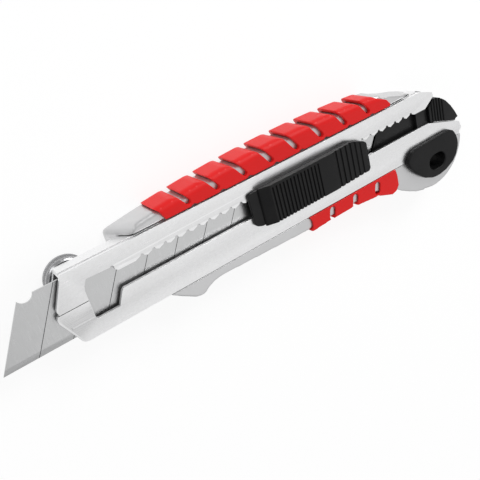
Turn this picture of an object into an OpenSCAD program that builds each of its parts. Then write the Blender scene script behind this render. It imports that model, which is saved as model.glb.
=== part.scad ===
// Snap-off utility knife: a cast handle holds a sheet steel blade channel, a ratchet slider carries the
// blade, a thumb wheel clamps it at the nose and a magazine of spare blades pulls out at the heel.
// The knife lies on its back. +X runs from the blade to the heel, +Y towards the spine, +Z up.
// X = 0 is the middle of the handle, Y = 0 the middle of the blade, Z = 0 the flat back. Millimetres.

/* [Blade] */
// Width of the blade from cutting edge to spine
blade_w = 18; // [16:0.5:22]
// Thickness of the blade
blade_t = 0.5; // [0.4:0.05:0.6]
// Distance between score lines
seg_pitch = 10; // [9:0.25:10.5]
// Number of snap-off segments
seg_count = 8; // [6:1:8]
// Lean of the score lines from square, in degrees
lean = 32; // [26:1:34]
// How far the tip stands out of the nose as stored
stick_out = 17.75; // [10:0.25:20]

/* [Handle] */
// Length of the handle from nose to heel
body_l = 156; // [152:1:190]
// Thickness of the cast back behind the blade channel
back_t = 5; // [4.6:0.1:7]
// Thickness of the channel and face plate steel
sheet_t = 1; // [0.8:0.1:1.2]
// Height of the arched spine above the channel
spine_h = 7.5; // [7:0.1:10]
// Height of the cast strip below the channel
strip_h = 4.4; // [4:0.2:6]
// Thickness of the rubber grips
grip_t = 1.5; // [1.2:0.1:2]
// Distance between the slots in the upper grip
grip_pitch = 9.83; // [9:0.1:10]

/* [Slider] */
// Distance between ratchet notches
tooth_p = 3.75; // [3.5:0.05:4]
// Width of the slider across the handle
slider_w = 12.4; // [11:0.2:13]
// Height of the slider above the face plate
slider_h = 3; // [2.6:0.1:5]

/* [Lock wheel] */
// Radius of the thumb wheel
wheel_r = 6.55; // [5.5:0.05:7.5]
// Thickness of the thumb wheel
wheel_t = 3.8; // [3:0.1:4]
// Radius of the clamp stud
stud_r = 2; // [1.6:0.1:2.4]

/* [Hidden] */
$fn = 64;
eps = 0.05;
run = 0.05;
slide_gap = 0.1;
side_gap = 0.15;
tray_wall = 0.6;
spare_n = 3;
spare_step = blade_t + 0.02;

// lengthways stations
nx = -body_l / 2;
hx = body_l / 2;
bx = nx - stick_out;
blade_l = seg_pitch * (seg_count + 2);
tl = tan(lean);

// heights across the blade
yc = blade_w / 2;
ch_in = yc + tray_wall + slide_gap;
ch_out = ch_in + sheet_t;
spine_y = ch_out + spine_h;
arc_r = body_l * 2.69;
arc_x = body_l * 0.045;
arc_y = spine_y - arc_r;
grip_y = ch_out + 0.7;
core_in = 0.75;
grip_r = 2.4;
core_r = 1.7;
crease_h = 0.16;
slot_x = nx + 45.45;
slot_y = ch_out + 2.4;
slot_a = 34;
screw_spots = [nx + 37, nx + 92, hx - 26];
rivet_spots = [[nx + 5.6, -5.4], [nx + 9.6, -6.8]];
strip_y = -ch_out - strip_h;

// heights off the back
z_in = back_t + sheet_t;
z_tray = z_in + 0.05;
tray_floor = 0.4;
z_spare = z_tray + tray_floor + 0.4;
z_blade = z_spare + spare_n * spare_step + 0.09;
z_car = z_blade + blade_t + 0.05;
car_t = 0.8;
z_face = z_car + car_t + 0.15;
z_top = z_face + sheet_t;
z_slider = z_top + 0.05;
spine_z = z_face + 0.1;
strip_z = z_top - 0.35;
seat_z = z_slider + 1;
cap_z = z_slider + slider_h;

// slot and ratchet
slot_lo = -1.3;
slot_hi = 4.2;
root_y = 5.35;
notch_r = 0.45;
n_teeth = floor((body_l - 27.75 - 19) / tooth_p);
root0 = nx + 27.75;

// slider stations, set so that the spring tip stands in a notch
tip_x = root0 + 15 * tooth_p;
s_front = tip_x - 20.3;
s_back = tip_x + 26.8;
keel_x0 = tip_x - 13.6;
keel_x1 = tip_x + 22.3;
sl_y = 0.95;
slider_rivet_x = [keel_x0 + 3, keel_x1 - 3];
hole_x = bx + blade_l - 4;

// lock wheel
wheel_x = nx + 8.5;
wheel_y = 4.9;
wheel_z = 0.4;
pad_half = 3;
pad_gap = 0.1;
pad_lift = 0.4;

// magazine
spare_x = nx + 10.2;
spare_l = blade_l;
mag_x = hx - 14.9;

// heel
heel_x = hx - 16.1;
heel_y = -ch_out + 1.8;
heel_r = 16.1;
hole_cx = hx - 15.2;
hole_cy = -ch_out - 4.7;

module plate(z0, z1) {
  translate([0, 0, z0]) linear_extrude(z1 - z0) children();
}

// extrude a (Y, Z) profile along X
module along_x(x0, x1) {
  translate([x0, 0, 0]) rotate([90, 0, 90]) linear_extrude(x1 - x0) children();
}

// extrude an (X, Z) profile along Y
module along_y(y0, y1) {
  translate([0, y1, 0]) rotate([90, 0, 0]) linear_extrude(y1 - y0) children();
}

module slab(x0, x1, y0, y1) {
  translate([x0, y0]) square([x1 - x0, y1 - y0]);
}

// outlines

module nose_outline(back) {
  polygon([[nx + 5.4, ch_out], [nx + 0.95, 2.1], [nx + 0.85, 1.3], [nx + 1.15, 0.55], [nx + 0.5, 0],
           [nx + 0.08, -0.7], [nx + 0.1, -1.8], [nx + 3.45, -ch_out + 2], [nx + 3.8, -ch_out + 1.1],
           [nx + 4.6, -ch_out + 0.3], [nx + 5.8, -ch_out], [back, -ch_out], [back, ch_out]]);
}

module rear_cut() {
  polygon([[hx - 17.9, ch_out + eps], [hx - 17.9, ch_out], [hx - 12.3, ch_out - 2], [hx - 11.9, 7.2],
           [hx - 16.4, slot_hi], [hx - 20, slot_hi], [hx - 20, slot_lo], [hx - 15.9, slot_lo],
           [hx - 2.7, -5.4], [hx - 0.7, -6.4], [hx + 0.1, -8.8], [hx - 0.3, -9.4], [hx - 1.2, -9.8],
           [hx - 1.2, -ch_out - eps], [hx + 2, -ch_out - eps], [hx + 2, ch_out + eps]]);
}

module window() {
  polygon([[nx + 11.1, 6.3], [nx + 10.1, 4.6], [nx + 9.75, 3.2], [nx + 9.7, -4.7], [nx + 9.85, -5.4],
           [nx + 10.4, -5.85], [nx + 16.9, -5.8], [nx + 19, -1.9], [nx + 19.7, slot_lo],
           [nx + 22, slot_lo], [nx + 22, slot_hi], [nx + 20.2, slot_hi], [nx + 19.4, 4.8],
           [nx + 19.2, 5.9], [nx + 18.2, 6]]);
  translate([nx + 18.7, 5.7]) circle(r = 0.6, $fn = 32);
}

module notch(x) {
  translate([x, root_y - notch_r]) circle(r = notch_r, $fn = 24);
  polygon([[x - notch_r, root_y - notch_r], [x - 2, slot_hi + 0.1], [x - 2, slot_hi - 0.3],
           [x + 1.75, slot_hi - 0.3], [x + 1.6, slot_hi], [x + notch_r + 0.1, root_y - notch_r - 0.2],
           [x + notch_r, root_y - notch_r]]);
}

module blade_outline(x0, len) {
  difference() {
    polygon([[x0, -yc], [x0 + 2 * yc * tl, yc], [x0 + len + 2 * yc * tl, yc], [x0 + len, -yc]]);
    translate([x0 + 2 * yc * tl + 1.9, yc + 0.5]) circle(r = 2.35);
    translate([x0 + len - 4, 0]) circle(r = 2);
  }
}

module snap_blade(x0, z0, len, scored) {
  difference() {
    intersection() {
      plate(z0, z0 + blade_t) blade_outline(x0, len);
      along_x(x0 - 1, x0 + len + 2 * yc * tl + 1)
        polygon([[-yc, z0 + blade_t * 0.42], [-yc, z0 + blade_t * 0.58], [-yc + 1.8, z0 + blade_t],
                 [yc, z0 + blade_t], [yc, z0], [-yc + 1.8, z0]]);
    }
    if (scored) {
      for (i = [1 : seg_count - 1]) {
        plate(z0 + blade_t - 0.1, z0 + blade_t + eps)
          polygon([[x0 + seg_pitch * i - 0.06 - eps * tl, -yc - eps],
                   [x0 + seg_pitch * i + 0.06 - eps * tl, -yc - eps],
                   [x0 + seg_pitch * i + 0.06 + (2 * yc + eps) * tl, yc + eps],
                   [x0 + seg_pitch * i - 0.06 + (2 * yc + eps) * tl, yc + eps]]);
      }
    }
  }
}

// grips

function arc(x) = arc_y + sqrt(arc_r * arc_r - (x - arc_x) * (x - arc_x));

// the spine is arched along its length and rounded across; t sets the surface in, zb and zf bound it
module spine_solid(t, zb, zf, r) {
  translate([arc_x, arc_y, 0]) rotate([0, 0, 70]) rotate_extrude(angle = 40, $fn = 360) union() {
    translate([arc_r - 40, zb]) square([40 - t - r, zf - zb]);
    translate([arc_r - 40, zb + r]) square([40 - t, zf - zb - 2 * r]);
    translate([arc_r - t - r, zb + r]) circle(r = r);
    translate([arc_r - t - r, zf - r]) circle(r = r);
  }
}

module upper_outline() {
  polygon([[nx + 31.8, spine_y - 2], [nx + 31.8, 24], [hx - 44, 24], [hx - 41.4, arc(hx - 41.4) + 0.3],
           [hx - 38.4, arc(hx - 38.4) - 0.3], [hx - 36.6, arc(hx - 38.4) - 1.5],
           [hx - 34.9, arc(hx - 38.4) - 2.2], [hx - 33.2, arc(hx - 38.4) - 3.1],
           [hx - 32.2, arc(hx - 38.4) - 4.5], [hx - 31.9, grip_y + 1], [hx - 32.2, grip_y],
           [nx + 37.6, grip_y], [nx + 37.1, grip_y + 1], [nx + 36.5, grip_y + 2.6],
           [nx + 35, grip_y + 4]]);
}

module upper_shell() {
  difference() {
    intersection() {
      spine_solid(0, 0, spine_z + grip_t, grip_r);
      plate(-1, z_top + 4) upper_outline();
    }
    spine_solid(grip_t, 1.2, spine_z, core_r - 0.6);
    along_y(ch_out, 30) polygon([[nx + 20, -1], [nx + 32.3, -1], [nx + 35.6, spine_z + grip_t + 1],
                                 [nx + 20, spine_z + grip_t + 1]]);
  }
}

function slot_top(i) = slot_x + i * grip_pitch
  - (arc(slot_x + i * grip_pitch - 3) - slot_y) * tan(slot_a);

// each band of the grip stands at full height behind its slot and falls away before the next one
function band_front(i) = let(x = slot_top(i - 1))
  [[x + 2.75, slot_y - 0.4], [x - 0.2, arc(x) - 0.35], [x + 0.5, arc(x + 0.5) + 0.05]];

function band_rear(i) = let(x = slot_top(i))
  [[x - 3.5, arc(x - 3.5) + 0.1], [x - 1.9, arc(x - 1.9) - 0.2], [x - 0.5, arc(x) - 0.75],
   [x + 2.5, slot_y - 0.4]];

module upper_bands() {
  polygon(concat([[hx, grip_y - 1], [nx + 20, grip_y - 1], [nx + 20, spine_y + 2]], band_rear(0),
                 [for (i = [1 : 7]) for (p = concat(band_front(i), band_rear(i))) p],
                 band_front(8), [[hx, spine_y + 1]]));
}

module upper_slots() {
  for (i = [0 : 7]) {
    translate([slot_x + i * grip_pitch, slot_y]) rotate(slot_a) {
      circle(r = 0.75, $fn = 32);
      translate([-0.75, 0]) square([1.5, 14]);
    }
    polygon([[slot_x + i * grip_pitch + 0.2, grip_y - 1], [slot_x + i * grip_pitch + 0.7, grip_y + 0.25],
             [slot_x + i * grip_pitch + 1.6, grip_y + 0.45], [slot_x + i * grip_pitch + 4.2, grip_y - 1]]);
  }
}

module lower_outer() {
  polygon([[nx + 83.6, -ch_out - 0.1], [nx + 84.4, -ch_out - 2], [nx + 84.2, -ch_out - 4],
           [nx + 83.4, strip_y - 0.5], [nx + 84, strip_y - 0.8], [nx + 91.2, strip_y - 0.4],
           [nx + 92.6, strip_y], [nx + 93.2, strip_y - 0.5], [nx + 100.5, strip_y - 0.4],
           [nx + 102, strip_y], [nx + 102.8, strip_y - 0.6], [hx - 44.4, strip_y - 1.5],
           [hx - 43.2, strip_y - 1.3], [hx - 42.5, strip_y - 1.9], [hx - 37, strip_y - 3.9],
           [hx - 34.9, strip_y - 3.4], [hx - 33.6, strip_y - 1.8], [hx - 33.5, -ch_out - 2.5],
           [hx - 34, -ch_out - 0.1]]);
}

module lower_core() {
  polygon([[nx + 80, -ch_out + 1], [nx + 80, strip_y + 0.4], [nx + 102, strip_y + 0.4],
           [hx - 43, strip_y - 0.6], [hx - 34.4, strip_y - 2.6], [hx - 30, strip_y - 4],
           [hx - 30, -ch_out + 1]]);
}

module lower_shell() {
  difference() {
    plate(0, strip_z + grip_t * 0.5) lower_outer();
    plate(1.2, strip_z) lower_core();
  }
}

module lower_slots() {
  for (i = [0 : 2]) {
    translate([nx + 92.8 + i * 10.1, -ch_out - 2.9 - 0.15 * i]) rotate(-14) {
      translate([0, 1.1]) circle(r = 1.1, $fn = 32);
      translate([0, -1]) circle(r = 1.1, $fn = 32);
      slab(-1.1, 1.1, -1, 1.1);
    }
  }
}

// cast body

module back_outline() {
  union() {
    polygon([[nx + 22.5, 7], [nx + 22.5, ch_out + 0.8], [nx + 22.8, ch_out + 2], [nx + 23.7, ch_out + 2.9],
             [nx + 25.5, ch_out + 3.4], [nx + 28.3, ch_out + 3.95], [nx + 32.3, ch_out + 4.5],
             [nx + 34, 24], [hx - 37.5, 24], [hx - 34, arc(hx - 34) - 2], [hx - 30, ch_out + 3.1],
             [hx - 27.4, ch_out + 2.2], [hx - 25.6, ch_out + 1.7], [hx - 22.3, ch_out + 0.9],
             [hx - 18.5, ch_out - 0.3], [hx - 15.4, ch_out - 1.6], [hx - 9, 4], [hx - 6, -4],
             [heel_x, heel_y], [hx - 21.5, heel_y - 15.6], [hx - 25, heel_y - 14.7], [hx - 28.7, heel_y - 13],
             [hx - 31.5, heel_y - 11.5], [hx - 34.1, strip_y - 3.4],
             [hx - 43.6, strip_y], [hx - 60, strip_y + 0.2], [nx + 83, strip_y],
             [nx + 49.7, strip_y + 1.3], [nx + 46.4, strip_y + 1], [nx + 43.8, strip_y - 0.1],
             [nx + 42.6, strip_y - 1], [nx + 41.2, strip_y - 1.3], [nx + 39.2, strip_y - 0.9],
             [nx + 34.9, strip_y + 1.8], [nx + 31.5, -ch_out - 0.2], [nx + 27, -ch_out + 1.5],
             [nx + 24, -ch_out + 4]]);
    translate([heel_x, heel_y]) circle(r = heel_r);
  }
}

module channel_seat() {
  slab(nx, hx + 2, -ch_out, ch_out);
}

module body_casting() {
  color([0.8, 0.8, 0.82]) difference() {
    union() {
      intersection() {
        plate(-1, z_top + 2) back_outline();
        spine_solid(core_in, 0, spine_z, core_r);
        plate(-1, z_top + 2) slab(nx, hx + 2, ch_out - 0.5, 40);
      }
      intersection() {
        plate(0, strip_z) back_outline();
        plate(-1, z_top) slab(nx, hx + 2, -40, ch_out);
      }
    }
    plate(back_t, z_top + 1) channel_seat();
    plate(z_face - 1, z_top + 1) slab(hx - 23.8, hx, ch_out - 1, ch_out + 4);
    translate([nx + 22.9, ch_out, 2]) rotate([0, 32, 0]) translate([0, 0, -14]) linear_extrude(32)
      polygon([[-12, eps], [0, eps], [0.1, 1], [0.6, 2], [1.6, 2.75], [3, 3.25], [8, 4.7], [8, 9], [-12, 9]]);
    plate(z_face - 1.2, z_top + 1) slab(nx, hx, ch_out - eps, ch_out + 0.3);
    plate(z_face - 0.8, z_top + 1) slab(nx, hx, -ch_out - 0.25, -ch_out + eps);
    upper_shell();
    lower_shell();
    for (p = screw_spots) {
      translate([p, 0, -eps]) cylinder(r = 1.5, h = back_t + 1);
      translate([p, 0, -eps]) cylinder(r = 3, h = 1.6 + eps);
    }
    plate(-eps, z_top + 1) hang_hole(0.6);
  }
}

module hang_hole(extra) {
  translate([hole_cx - 1.2, hole_cy]) circle(r = 2.7 + extra);
  translate([hole_cx + 1.2, hole_cy]) circle(r = 2.7 + extra);
  slab(hole_cx - 1.2, hole_cx + 1.2, hole_cy - 2.7 - extra, hole_cy + 2.7 + extra);
}

module upper_grip() {
  color([0.85, 0.12, 0.12]) difference() {
    intersection() {
      upper_shell();
      plate(-1, z_top + 4) upper_bands();
    }
    plate(-1, z_top + 4) upper_slots();
  }
}

module lower_grip() {
  color([0.85, 0.12, 0.12]) difference() {
    lower_shell();
    plate(-1, z_top + 4) lower_slots();
  }
}

module insert_outline() {
  translate([hx, -ch_out])
    polygon([[-29, 0.1], [-28.2, 1.8], [-26.8, 3.1], [-24.8, 3.8], [-10.2, 4.1], [-7.6, 4], [-5.7, 3],
             [-4.6, 1.2], [-4, -0.9], [-4.1, -3.3], [-5.4, -6.1], [-7.4, -8.1], [-11.2, -9.8], [-15, -10.4],
             [-18.2, -10.1], [-22, -8.5], [-26, -5.1], [-28.2, -2.1]]);
}

module heel_insert() {
  color([0.06, 0.06, 0.07]) difference() {
    union() {
      plate(z_top + 0.02, z_top + 1.7) insert_outline();
      plate(strip_z, z_top + 0.1) intersection() {
        insert_outline();
        slab(hx - 40, hx, -40, -ch_out - 0.1);
      }
      plate(0, strip_z) hang_hole(0.6);
    }
    plate(-eps, z_top + 3) hang_hole(0);
  }
}

// channel

module channel_wall(s) {
  slab(nx - 1, hx + 2, min(s * ch_in, s * (ch_out + eps)), max(s * ch_in, s * (ch_out + eps)));
}

module channel_rear() {
  polygon([[hx - 17.9, ch_out + eps], [hx - 14, ch_out - 2.5], [hx - 8, 4], [hx - 3.5, -5],
           [hx - 1.5, -ch_out - eps], [hx + 2, -ch_out - eps], [hx + 2, ch_out + eps]]);
}

module blade_channel() {
  color([0.72, 0.73, 0.75]) difference() {
    plate(back_t, z_face) nose_outline(hx + 1);
    plate(z_in, z_face + 1) slab(nx - 1, hx + 2, -ch_in, ch_in);
    plate(back_t - 1, z_face + 1) channel_rear();
    for (z = [z_face - 0.25, z_face - 0.75]) {
      plate(z, z + 0.25 + (z > z_face - 0.5 ? eps : 0)) {
        slab(nx - 1, hx + 2, ch_out - 0.3, ch_out + 1);
        slab(nx - 1, hx + 2, -ch_out - 1, -ch_out + 0.3);
      }
    }
    translate([wheel_x, wheel_y, back_t - 1]) cylinder(r = stud_r + run, h = 3);
    for (p = screw_spots) {
      translate([p, 0, back_t - 1]) cylinder(r = 1.5, h = 3);
    }
    for (p = rivet_spots) {
      translate([p[0], p[1], back_t - 1]) cylinder(r = 0.9, h = 3);
      translate([p[0], p[1], back_t - 1]) cylinder(r = 1.6, h = 1.4);
    }
  }
}

module lips() {
  difference() {
    nose_outline(hx + 1);
    rear_cut();
    window();
    slab(nx + 20, hx - 16, slot_lo, slot_hi);
  }
}

module ratchet_plate() {
  color([0.78, 0.79, 0.81]) plate(z_face, z_top) difference() {
    intersection() {
      lips();
      slab(nx - 1, hx + 2, 0.3, ch_out + 1);
    }
    for (i = [0 : n_teeth - 1]) {
      notch(root0 + i * tooth_p);
    }
  }
}

// the lower plate has a pressed crease that stiffens it at the nose
module guide_plate() {
  color([0.78, 0.79, 0.81]) union() {
    plate(z_face, z_top) intersection() {
      lips();
      slab(nx - 1, hx + 2, -ch_out - 1, 0.14);
    }
    along_x(nx + 2.7, nx + 9.3)
      polygon([[-5.5, z_top - eps], [-5.1, z_top + crease_h], [-4.7, z_top + crease_h], [-4.3, z_top - eps]]);
  }
}

// nose

module bed_outline() {
  polygon([[nx + 5.5, ch_in - 0.1], [nx + 1.45, 2], [nx + 1.2, 0.2], [nx + 0.9, -0.9],
           [nx + 0.9, -1.7], [nx + 4.3, -ch_out + 2.1], [nx + 5.4, -ch_in + 0.1],
           [spare_x - 0.6 + (yc - ch_in) * tl, -ch_in + 0.1],
           [spare_x - 0.6 + (yc + ch_in) * tl, ch_in - 0.1]]);
}

module nose_bed() {
  color([0.1, 0.1, 0.11]) difference() {
    union() {
      plate(z_in, z_blade - 0.08) bed_outline();
      plate(z_blade - 0.1, z_face - 0.05) intersection() {
        bed_outline();
        union() {
          slab(nx + 6, nx + 40, yc + 0.15, ch_in);
          slab(nx + 6, nx + 40, -ch_in, -yc - 0.15);
        }
      }
    }
    plate(z_in - 1, z_face + 1)
      slab(wheel_x - pad_half - pad_gap, wheel_x + pad_half + pad_gap,
           wheel_y - pad_half - pad_gap, wheel_y + pad_half + pad_gap);
    for (p = rivet_spots) {
      translate([p[0], p[1], z_in - 1]) cylinder(r = 0.9, h = z_face);
      translate([p[0], p[1], z_blade - 0.08 - 0.8]) cylinder(r = 1.6, h = 3);
    }
  }
}

module bed_rivets() {
  color([0.6, 0.6, 0.62]) for (p = rivet_spots) {
    translate([p[0], p[1], back_t]) cylinder(r = 1.6, h = 0.4);
    translate([p[0], p[1], back_t]) cylinder(r = 0.9, h = z_blade - 0.5 - back_t);
    translate([p[0], p[1], z_blade - 0.88]) cylinder(r = 1.6, h = 0.5);
  }
}

module lock_wheel() {
  color([0.66, 0.66, 0.68]) translate([wheel_x, wheel_y, wheel_z]) difference() {
    union() {
      cylinder(r = wheel_r - 0.5, h = wheel_t);
      translate([0, 0, 0.3]) cylinder(r = wheel_r, h = wheel_t - 0.9);
    }
    for (i = [0 : 35]) {
      rotate(i * 10) translate([wheel_r + 0.05, 0, -1]) rotate(45)
        translate([-0.22, -0.22, 0]) cube([0.44, 0.44, wheel_t + 2]);
    }
    translate([0, 0, wheel_t - 1.2]) difference() {
      cylinder(r = wheel_r - 1.2, h = 2);
      translate([0, 0, -1]) cylinder(r = stud_r + 1.4, h = 4);
    }
    translate([0, 0, 0.6]) cylinder(r = stud_r, h = wheel_t);
  }
}

module wheel_washer() {
  color([0.6, 0.6, 0.62]) translate([wheel_x, wheel_y, wheel_z + wheel_t]) difference() {
    cylinder(r = stud_r + 1.2, h = back_t - wheel_z - wheel_t - 0.06);
    translate([0, 0, -1]) cylinder(r = stud_r, h = 3);
  }
}

module lock_stud() {
  color([0.55, 0.55, 0.57]) translate([wheel_x, wheel_y, 0]) {
    translate([0, 0, wheel_z + 0.6]) cylinder(r = stud_r, h = z_in - wheel_z - 0.3);
    translate([0, 0, z_in + 0.04]) cylinder(r = stud_r + 0.7, h = 0.3);
    translate([0, 0, z_in + 0.3]) cylinder(r = stud_r - 0.4, h = z_blade - pad_lift - 0.9 - z_in - 0.3);
  }
}

module pressure_pad() {
  color([0.75, 0.6, 0.3]) difference() {
    plate(z_in + 0.5, z_blade - pad_lift) slab(wheel_x - pad_half, wheel_x + pad_half,
                                               wheel_y - pad_half, wheel_y + pad_half);
    translate([wheel_x, wheel_y, z_in]) cylinder(r = stud_r - 0.4 + run, h = z_blade - pad_lift - 0.6 - z_in);
    translate([wheel_x, wheel_y, z_in]) cylinder(r = stud_r + 1, h = 0.55);
  }
}

module body_screws() {
  color([0.35, 0.35, 0.37]) for (p = screw_spots) {
    difference() {
      union() {
        translate([p, 0, 0.3]) cylinder(r = 1.5, h = z_in - 0.3);
        translate([p, 0, 0.3]) cylinder(r = 2.95, h = 1.3);
      }
      translate([p, 0, -eps]) cylinder(r = 1.5, h = 1.2, $fn = 6);
    }
  }
}

// blade and slider

module blade() {
  color([0.62, 0.63, 0.65]) snap_blade(bx, z_blade, blade_l, true);
}

module blade_carrier() {
  color([0.66, 0.67, 0.69]) difference() {
    plate(z_car, z_car + car_t) polygon([[keel_x0 - 1, -ch_in + side_gap], [keel_x0 - 1, ch_in - side_gap],
      [keel_x1 + 2, ch_in - side_gap], [keel_x1 + 2, -ch_in + side_gap]]);
    translate([hole_x, 0, z_car - 1]) cylinder(r = 1.2, h = 3);
    for (p = slider_rivet_x) {
      translate([p, sl_y + 0.5, z_car - 1]) cylinder(r = 0.9, h = 3);
    }
  }
}

module carrier_stud() {
  color([0.5, 0.5, 0.52]) translate([hole_x, 0, 0]) {
    translate([0, 0, z_blade + 0.03]) cylinder(r = 1.94, h = z_car - z_blade - 0.03);
    translate([0, 0, z_car]) cylinder(r = 1.2, h = car_t);
  }
}

module slider_base() {
  color([0.05, 0.05, 0.06]) difference() {
    union() {
      plate(z_slider, seat_z) polygon([[s_front, sl_y - 4.4], [s_front + 0.8, sl_y - 5.2],
        [s_front + 2.4, sl_y - 5.8], [s_back - 1.7, sl_y - 5.8], [s_back - 0.5, sl_y - 4.8],
        [s_back - 0.5, sl_y + 2], [s_back - 2, sl_y + 3.6], [s_back - 7, sl_y + 5.8], [s_front + 2.4, sl_y + 5.8],
        [s_front + 0.8, sl_y + 5.6], [s_front, sl_y + 5]]);
      plate(z_car + car_t, z_slider) slab(keel_x0, keel_x1, slot_lo + side_gap, slot_hi - side_gap);
    }
    plate(z_face - 0.02, z_top + 0.02) slab(tip_x - 9.2, tip_x + 9.2, slot_hi - side_gap - 1.5, slot_hi);
    for (p = slider_rivet_x) {
      translate([p, sl_y + 0.5, z_car]) cylinder(r = 0.9, h = 3);
    }
  }
}

module slider_rivets() {
  color([0.5, 0.5, 0.52]) for (p = slider_rivet_x) {
    translate([p, sl_y + 0.5, z_car]) cylinder(r = 0.9, h = seat_z - z_car);
  }
}

module slider_cap() {
  w = slider_w / 2;
  x0 = s_front + 3.3;
  top = cap_z;
  mid = tip_x + 11;
  color([0.07, 0.07, 0.08]) difference() {
    intersection() {
      along_y(sl_y - w, sl_y + w)
        polygon([[x0, seat_z], [x0 + 0.3, seat_z + 0.6], [x0 + 3.6, top], [mid, top],
                 [s_back - 1.6, top - 0.9], [s_back - 0.3, top - 1.5], [s_back, seat_z]]);
      plate(seat_z - 1, top + 1) polygon([[x0, sl_y - w], [x0, sl_y + w], [s_back - 6.8, sl_y + w],
        [s_back - 1.6, sl_y + w - 2], [s_back - 0.5, sl_y + w - 2.9], [s_back, sl_y + w - 4.4],
        [s_back, sl_y - w + 1.2], [s_back - 0.4, sl_y - w + 0.4], [s_back - 1.2, sl_y - w]]);
    }
    for (i = [0 : 13]) {
      along_y(sl_y - w - 1, sl_y + w - 0.9)
        slab(x0 + 4.1 + i * 1.36, x0 + 4.65 + i * 1.36, top - 0.45, top + 1);
    }
    for (i = [0 : 5]) {
      along_y(sl_y - w - 1, sl_y + w + 1)
        slab(mid + 1.2 + i * 2.1, mid + 1.95 + i * 2.1, top - 0.55 - i * 0.13, top + 1);
    }
  }
}

module ratchet_spring() {
  lo = slot_hi - side_gap - 1.1;
  color([0.5, 0.52, 0.55]) plate(z_face + 0.1, z_top - 0.1)
    polygon([[tip_x - 9, lo], [tip_x - 3, lo], [tip_x - 1.2, lo + 0.5], [tip_x - 0.35, root_y - 0.5],
             [tip_x + 0.35, root_y - 0.5], [tip_x + 1.2, lo + 0.5], [tip_x + 3, lo], [tip_x + 9, lo],
             [tip_x + 9, lo - 0.3], [tip_x + 2.9, lo - 0.3], [tip_x + 0.9, lo + 0.3],
             [tip_x + 0.15, root_y - 0.85], [tip_x - 0.15, root_y - 0.85], [tip_x - 0.9, lo + 0.3],
             [tip_x - 2.9, lo - 0.3], [tip_x - 9, lo - 0.3]]);
}

// magazine

module tray_outline(y) {
  polygon([[spare_x - 0.3 + (yc - y) * tl, -y], [spare_x - 0.3 + (yc + y) * tl, y], [mag_x, y], [mag_x, -y]]);
}

module spare_space() {
  polygon([[spare_x - 2 + (yc - yc) * tl, -yc - 0.08], [spare_x - 2 + 2 * yc * tl, yc + 0.08],
           [spare_x + spare_l + 1 + 2 * yc * tl, yc + 0.08], [spare_x + spare_l + 1, -yc - 0.08]]);
}

module magazine_tray() {
  y = ch_in - slide_gap;
  color([0.08, 0.08, 0.09]) difference() {
    union() {
      plate(z_tray, z_blade - 0.09) tray_outline(y);
      plate(z_blade - 0.1, z_face - 0.1) slab(mag_x - 5.2, mag_x, slot_lo - 3, slot_hi + 3);
    }
    plate(z_tray + tray_floor, z_face) spare_space();
    translate([mag_x - 2.4, 0, z_tray - 1]) cylinder(r = 1, h = 3.6);
  }
}

module magazine_cap() {
  color([0.06, 0.06, 0.07]) difference() {
    union() {
      plate(z_tray, z_top + 0.2) polygon([[mag_x, slot_lo + 0.1], [mag_x, slot_hi - 0.2],
        [hx - 12.3, 6.3], [hx - 10.8, 6.2], [hx - 8.8, 5.4], [hx - 6.4, 3.6], [hx - 4.2, 1],
        [hx - 2.4, -1.9], [hx - 1.2, -4.3], [hx - 2.6, -4.6], [hx - 2.7, -5.2]]);
      plate(z_tray, z_face - 0.1) slab(mag_x, mag_x + 3, -5, 7);
    }
    for (i = [0 : 4]) {
      plate(z_top - 0.3, z_top + 2) slab(mag_x + 1 + i * 1.3, mag_x + 1.55 + i * 1.3, -6, 8);
    }
    translate([mag_x, 0, z_tray + 1]) rotate([0, 90, 0]) cylinder(r = 0.7, h = 2.5);
  }
}

module cap_pin() {
  color([0.6, 0.6, 0.62]) translate([mag_x - 2.4, 0, z_tray]) cylinder(r = 1, h = 2.6);
}

module magazine_spring() {
  z = z_tray + tray_floor;
  color([0.5, 0.52, 0.55]) along_y(-3, 3)
    polygon([[spare_x + 15, z], [spare_x + 45, z + 0.22], [spare_x + 75, z], [spare_x + 75, z + 0.15],
             [spare_x + 45, z + 0.37], [spare_x + 15, z + 0.15]]);
}

module spare_blade_1() {
  color([0.62, 0.63, 0.65]) snap_blade(spare_x, z_spare, spare_l, false);
}

module spare_blade_2() {
  color([0.62, 0.63, 0.65]) snap_blade(spare_x, z_spare + spare_step, spare_l, false);
}

module spare_blade_3() {
  color([0.62, 0.63, 0.65]) snap_blade(spare_x, z_spare + 2 * spare_step, spare_l, false);
}

body_casting();
blade_channel();
ratchet_plate();
guide_plate();
upper_grip();
lower_grip();
heel_insert();
nose_bed();
bed_rivets();
body_screws();
blade();
blade_carrier();
carrier_stud();
slider_base();
slider_cap();
slider_rivets();
ratchet_spring();
lock_wheel();
lock_stud();
wheel_washer();
pressure_pad();
magazine_tray();
magazine_cap();
cap_pin();
magazine_spring();
spare_blade_1();
spare_blade_2();
spare_blade_3();
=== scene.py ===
import logging
import math
from dataclasses import dataclass, field
from enum import Enum
from typing import Optional

import bmesh
import bpy
from mathutils import Matrix, Vector


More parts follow.
